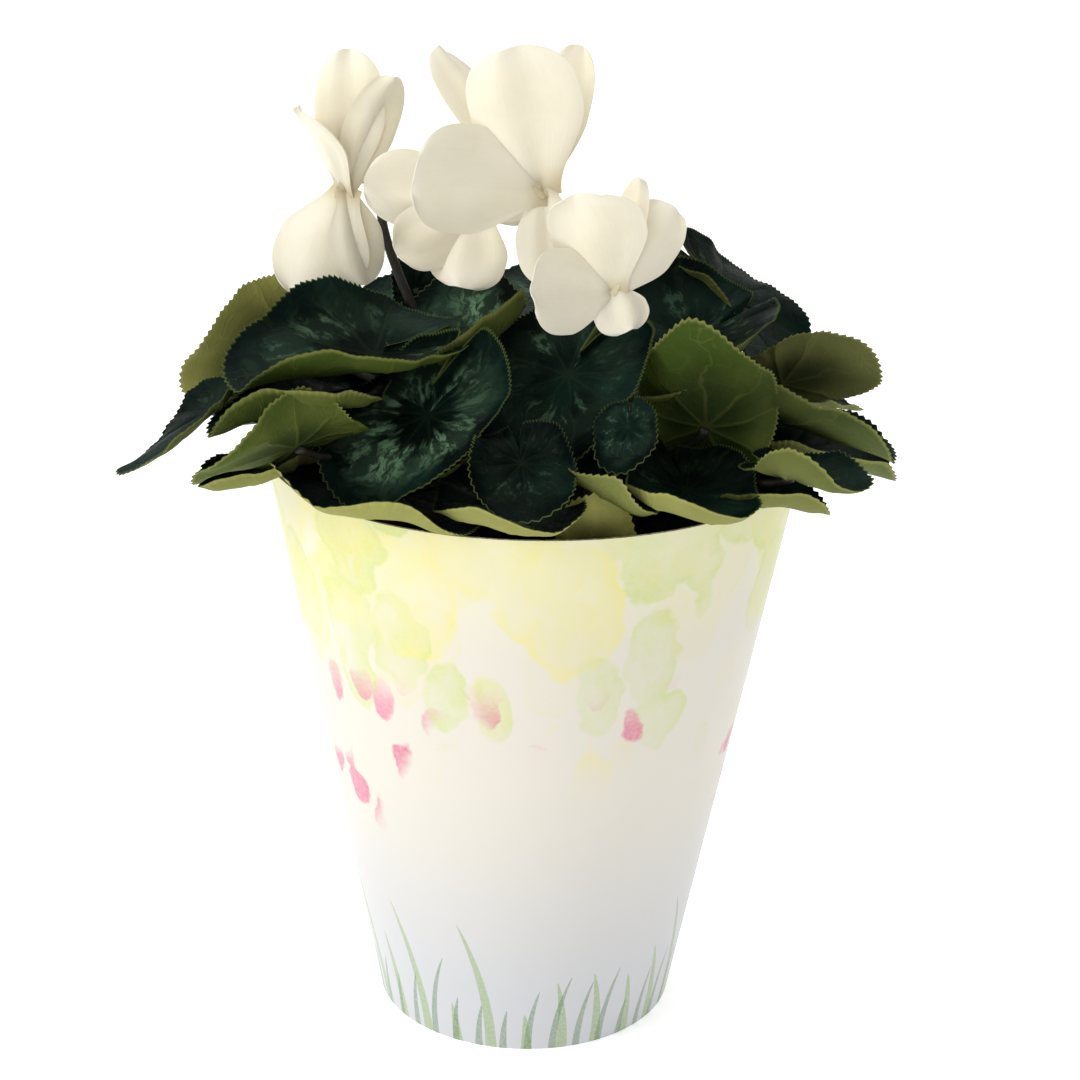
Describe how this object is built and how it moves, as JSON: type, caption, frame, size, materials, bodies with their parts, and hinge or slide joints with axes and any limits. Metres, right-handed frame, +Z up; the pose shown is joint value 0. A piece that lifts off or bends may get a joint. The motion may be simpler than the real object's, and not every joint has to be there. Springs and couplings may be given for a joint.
{
  "type": "potted cyclamen",
  "caption": "Potted cyclamen with white swept-back blooms above a mound of marbled heart-shaped leaves, in a nursery pot inside a tapered printed card cover.",
  "frame": {"origin": "centre of the cover's foot, on the surface that it stands on", "axes": "+Z up, -Y towards the viewer of the picture, +X to the viewer's right"},
  "size_m": [0.1903, 0.1585, 0.267],
  "materials": {
    "leaf": "satin, marbled silver green over dark green, paler beneath",
    "petal": "matte ivory white",
    "stalk": "satin brown",
    "bud": "satin green brown",
    "printed_card": "smooth coated card with a printed watercolour pattern",
    "card": "uncoated card",
    "nursery_plastic": "matte terracotta brown",
    "potting_soil": "rough, fibrous",
    "tuber": "rough corky skin"
  },
  "bodies": {
    "root": {"bloom_left_petals": "petal", "bloom_left_stalk": "stalk", "bloom_low_petals": "petal", "bloom_low_stalk": "stalk", "bloom_right_petals": "petal", "bloom_right_stalk": "stalk", "bloom_top_petals": "petal", "bloom_top_stalk": "stalk", "bud": "bud", "cover_base": "card", "cover_wall": "printed_card", "grow_pot": "nursery_plastic", "leaf_back_centre_high": "leaf", "leaf_back_centre_low": "leaf", "leaf_back_left_high": "leaf", "leaf_back_left_low": "leaf", "leaf_back_left_side": "leaf", "leaf_back_right": "leaf", "leaf_back_right_high": "leaf", "leaf_back_right_side": "leaf", "leaf_crest_left": "leaf", "leaf_crest_young": "leaf", "leaf_far_left_high": "leaf", "leaf_far_left_low": "leaf", "leaf_far_right_high": "leaf", "leaf_front_centre": "leaf", "leaf_front_centre_low": "leaf", "leaf_front_left_face": "leaf", "leaf_front_left_inner": "leaf", "leaf_front_left_low": "leaf", "leaf_front_right_band": "leaf", "leaf_front_right_face": "leaf", "leaf_front_right_small": "leaf", "leaf_front_turned": "leaf", "leaf_front_upright": "leaf", "leaf_left_back_fold": "leaf", "leaf_left_inside": "leaf", "leaf_left_low": "leaf", "leaf_left_rim": "leaf", "leaf_left_under": "leaf", "leaf_right_crest": "leaf", "leaf_right_face": "leaf", "leaf_right_fold": "leaf", "leaf_right_inside": "leaf", "leaf_right_low": "leaf", "leaf_right_rim": "leaf", "leaf_right_tent": "leaf", "leaf_right_under": "leaf", "soil": "potting_soil", "tuber": "tuber"}
  },
  "joints": []
}
